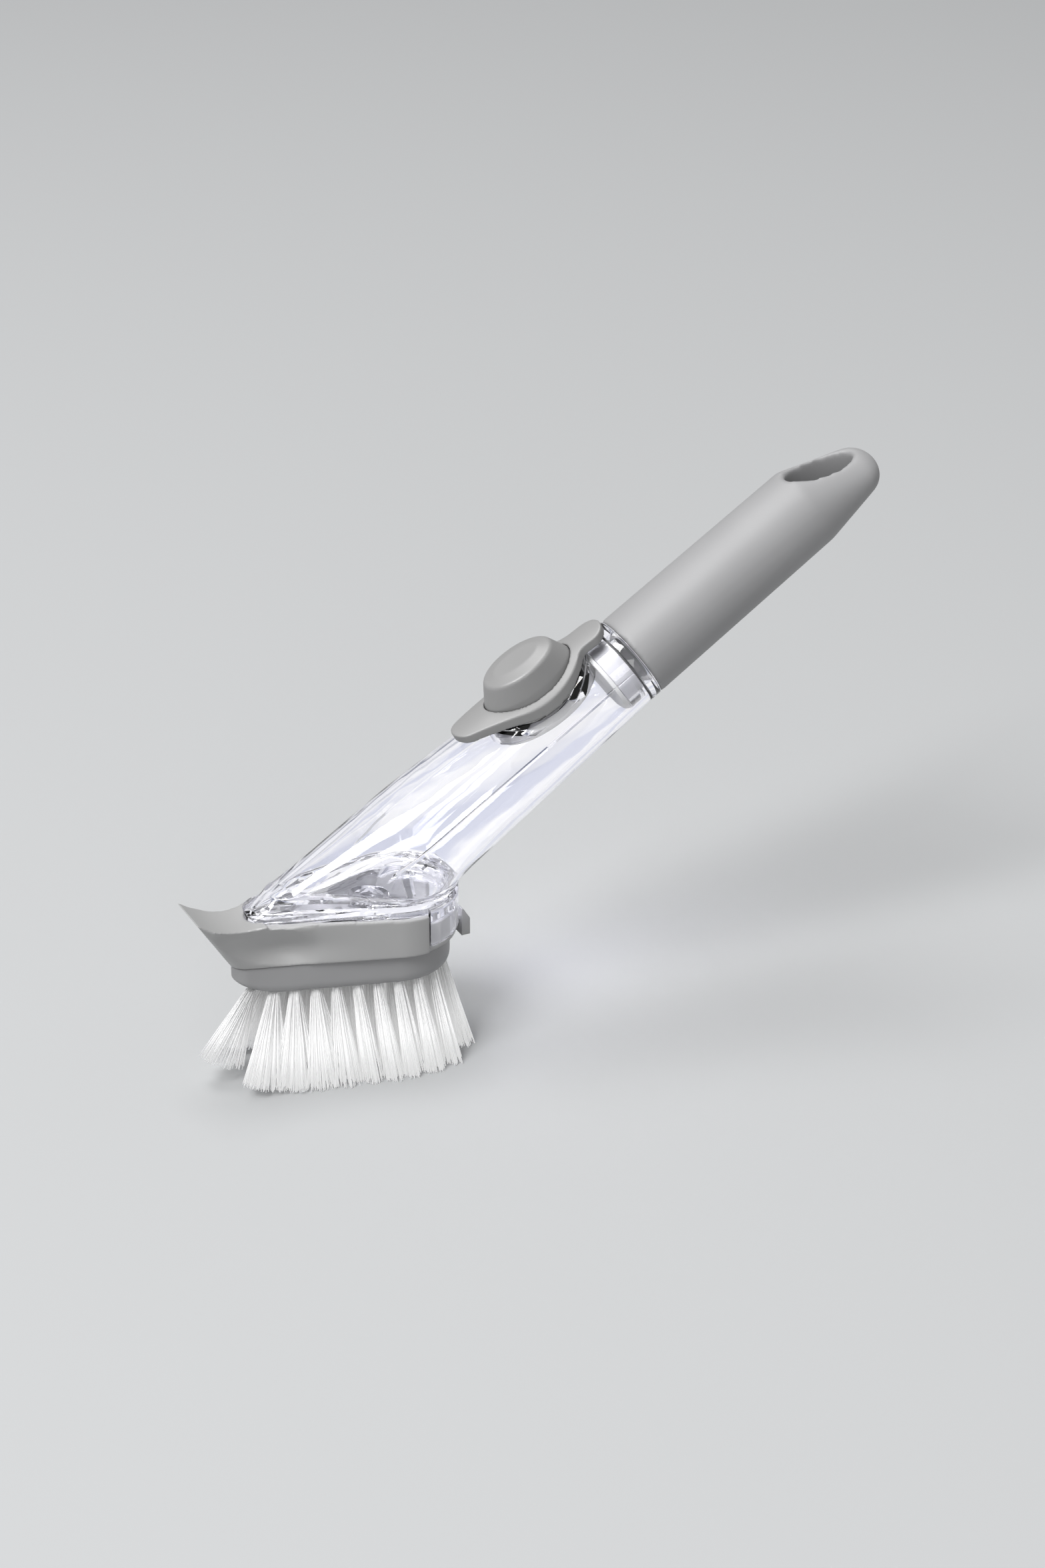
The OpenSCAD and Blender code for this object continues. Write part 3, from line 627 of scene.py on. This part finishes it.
# The head's rim is pressed in a little under its flared nose, and its lower cut is evened out.
carrier = moulded("carrier", "head_carrier", 0.45, 5)
hollow(carrier, (-16, 47.5), (14, 4.2), 1.7)
soften(carrier, lambda p: -37 < p.x < 2 and abs(p.y) > 4.5 and 43.5 < p.z < 54.6, 30)
dress(carrier, "head", head_grey, "head_carrier")
latch = crisp("latch", "release_latch", 0.3)
dress(latch, "latch", head_grey, "release_latch")
# The block's underside curves up towards the nose.
block = moulded("block", "brush_block", 0.6, 6)
CURVE_X, CURVE_TOP, CURVE_RISE = -17, 38, 5.5
for vertex in block.data.vertices:
    x, z = vertex.co.x / MM, vertex.co.z / MM
    if x < CURVE_X and z < CURVE_TOP:
        vertex.co.z += CURVE_RISE * ((CURVE_X - x) / 15) ** 2 * (CURVE_TOP - z) / 8 * MM
# The block's deeper grey is painted shade under the head.
dress(block, "head", block_grey_painted_shade, "brush_block")

# Small pieces that keep their own solids
for node, material in (("outlet_valve", silicone), ("valve_ring", clear_part),
                       ("inlet_gasket", silicone), ("pump_bellows", silicone)):
    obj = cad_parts[node]
    obj.data.materials.clear()
    obj.data.materials.append(material)

# Bristles: the same tufts as the solids, each of many fine filaments

REAR_X, REAR_R = 24, 15.8
TUFT_SIN, TUFT_COS = 0.2745, 0.9616
ROWS, FIRST_ROW, LAST_ROW, ROW_PITCH, TUFT_GAP = 11, -26, 39.2, 6.5, 5.4
INLET_X, INLET_CLEAR = 16, 2.6 + 1.25 + 0.9
TIP_RUN, FRONT_LEAN, FRONT_CURL, REAR_LEAN = 38, 12, 21, 4
SIDE_LEAN, REAR_EASE, TIP_SIDE = 10.5, 2.5, 27.2
# Heights of the trimmed tips along the head, which rise under the nose
TRIM_X, TRIM_Z = (-44, -36, -28.5, -17.9, -9), (9.6, 5.0, 2.2, 0.3, 0.0)


def tuft_half(x):
    """Half the width of the field of tufts at x."""
    if x > REAR_X - REAR_R * TUFT_SIN:
        return math.sqrt(max(0.01, REAR_R ** 2 - (x - REAR_X) ** 2))
    return REAR_R / TUFT_COS - (REAR_X - x) * TUFT_SIN / TUFT_COS


def tuft_tip(x, y):
    """Where the middle of a tuft ends, fanned out from its root at (x, y)."""
    t = x / TIP_RUN
    tip_x = x + FRONT_LEAN * t + FRONT_CURL * t ** 3 if x < 0 else x + REAR_LEAN * t * t
    lean = SIDE_LEAN - (0 if x < 0 else REAR_EASE * t)
    return Vector((tip_x, y + lean * y / max(tuft_half(x), 4), 0))


def make_bristles():
    rng = random.Random(7)
    verts, faces = [], []
    for i in range(ROWS):
        x = min(FIRST_ROW + ROW_PITCH * i, LAST_ROW)
        half = tuft_half(x)
        # The fifth row has one tuft less, as in the solids.
        count = 3 if i == 4 else 1 + int(2 * half / TUFT_GAP)
        for j in range(count):
            y = 0 if count == 1 else (2 * j / (count - 1) - 1) * half
            if math.hypot(x - INLET_X, y) <= INLET_CLEAR:
                continue
            tip = tuft_tip(x, y)
            # The tips of the rows at the nose spread until they meet the next row's.
            ahead = tuft_tip(x + ROW_PITCH, y).x - tip.x - 0.5 if x < 0 else 4.1
            behind = 3.3 if x < -20 or x > 0 else 7.0
            for _ in range(160 if x < 0 else 120):
                turn, away = rng.uniform(0, 2 * math.pi), math.sqrt(rng.random())
                way = Vector((math.cos(turn), math.sin(turn), 0)) * away
                root = Vector((x, y, TUFT_ROOT_Z)) + way * 1.7
                reach = Vector((ahead if way.x > 0 else behind, 3.9, 0))
                end = tip + way * reach + Vector((rng.gauss(0, 0.3), rng.gauss(0, 0.3), 0))
                end.z = float(np.interp(end.x, TRIM_X, TRIM_Z))
                end.y = min(max(end.y, -TIP_SIDE), TIP_SIDE)
                end.z += rng.uniform(0.0, 1.1) ** 2
                middle = (root + end) / 2 + Vector((rng.gauss(0, 0.12), rng.gauss(0, 0.12), 0))
                radius = rng.uniform(0.1, 0.14)
                start = len(verts)
                for point in (root, middle, end):
                    for c in range(4):
                        turn = c * math.pi / 2
                        verts.append(point + radius * Vector((math.cos(turn), math.sin(turn), 0)))
                for level in range(2):
                    a = start + 4 * level
                    for c in range(4):
                        d = (c + 1) % 4
                        faces.append((a + c, a + d, a + 4 + d, a + 4 + c))
                faces.append((start + 11, start + 10, start + 9, start + 8))
    return make("filaments", verts, faces)


filaments = make_bristles()
dress(filaments, "head", nylon, "bristles")

# Floor, light and camera


def studio():
    """A pale floor that keeps the shadow, a white surround seen through the plastic, soft lamps
    and the camera."""
    bpy.ops.mesh.primitive_plane_add(size=6)
    floor = bpy.context.object
    floor.name = "floor"
    material, tree = new_material("pale_floor")
    path = add(tree, "ShaderNodeLightPath")
    matte = add(tree, "ShaderNodeBsdfDiffuse", {"Color": colour("#9c9d9e")})
    place = add(tree, "ShaderNodeTexCoord").outputs["Object"]
    # Seen through the clear plastic, the floor emits painted pale bands of light, which darken far
    # away as painted shade.
    across = add(tree, "ShaderNodeMapping", {
        "Vector": place, "Rotation": (0, 0, math.radians(-37)), "Scale": (0.6, 9, 1)})
    bands = add(tree, "ShaderNodeTexNoise", {
        "Vector": across.outputs["Vector"], "Scale": 1.6, "Detail": 2.0})
    card = add(tree, "ShaderNodeMapRange", {
        "Value": bands.outputs["Fac"], "From Min": 0.38, "From Max": 0.5})
    away = add(tree, "ShaderNodeVectorMath", {0: place, 1: (0.1, 0.12, 0)}, operation="DISTANCE")
    fade = add(tree, "ShaderNodeMapRange", {
        "Value": away.outputs["Value"], "From Min": 0.25, "From Max": 0.9})
    near = add(tree, "ShaderNodeMix", {
        "Factor": card.outputs["Result"], "A": colour("#d9dcea"), "B": colour("#ffffff")},
        data_type="RGBA")
    seen = add(tree, "ShaderNodeMix", {
        "Factor": fade.outputs["Result"], "A": near.outputs["Result"], "B": colour("#7d8296")},
        data_type="RGBA")
    white = add(tree, "ShaderNodeEmission", {"Color": seen.outputs["Result"], "Strength": 1.0})
    mix = add(tree, "ShaderNodeMixShader", {
        0: path.outputs["Is Transmission Ray"], 1: matte.outputs["BSDF"],
        2: white.outputs["Emission"]})
    finish_material(tree, mix.outputs["Shader"])
    floor.data.materials.append(material)

    world = bpy.data.worlds.new("studio")
    bpy.context.scene.world = world
    world.use_nodes = True
    tree = world.node_tree
    tree.nodes.clear()
    path = add(tree, "ShaderNodeLightPath")
    seen = add(tree, "ShaderNodeMath", {
        0: path.outputs["Is Camera Ray"], 1: path.outputs["Is Transmission Ray"]},
        operation="MAXIMUM")
    soft = add(tree, "ShaderNodeBackground", {"Color": (1, 1, 1, 1), "Strength": 0.42})
    pale = add(tree, "ShaderNodeBackground", {"Color": (0.96, 0.965, 1, 1), "Strength": 1.0})
    mix = add(tree, "ShaderNodeMixShader", {
        0: seen.outputs["Value"], 1: soft.outputs["Background"], 2: pale.outputs["Background"]})
    add(tree, "ShaderNodeOutputWorld", {"Surface": mix.outputs["Shader"]})

    for name, spot, size, watts in (("key", (-2.0, -0.9, 2.9), 1.6, 165.0),
                                    ("front", (-0.9, -3.0, 1.1), 1.2, 22.0),
                                    ("top", (-0.2, 0.8, 3.0), 1.4, 60.0)):
        data = bpy.data.lights.new(name, "AREA")
        data.shape = "SQUARE"
        data.size = size
        data.energy = watts
        lamp = bpy.data.objects.new(name, data)
        bpy.context.scene.collection.objects.link(lamp)
        lamp.location = spot
        aim = Vector((0.07, 0, 0.09)) - lamp.location
        lamp.rotation_euler = aim.to_track_quat("-Z", "Y").to_euler()

    data = bpy.data.cameras.new("camera")
    data.lens = 83.94
    data.sensor_width = 36
    data.clip_end = 10
    camera = bpy.data.objects.new("camera", data)
    bpy.context.scene.collection.objects.link(camera)
    camera.location = (-0.3996, -0.9669, 0.6157)
    aim = Vector((0.072, 0, 0.084)) - camera.location
    camera.rotation_euler = aim.to_track_quat("-Z", "Y").to_euler()
    bpy.context.scene.camera = camera
    bpy.context.scene.view_settings.view_transform = "Standard"


studio()
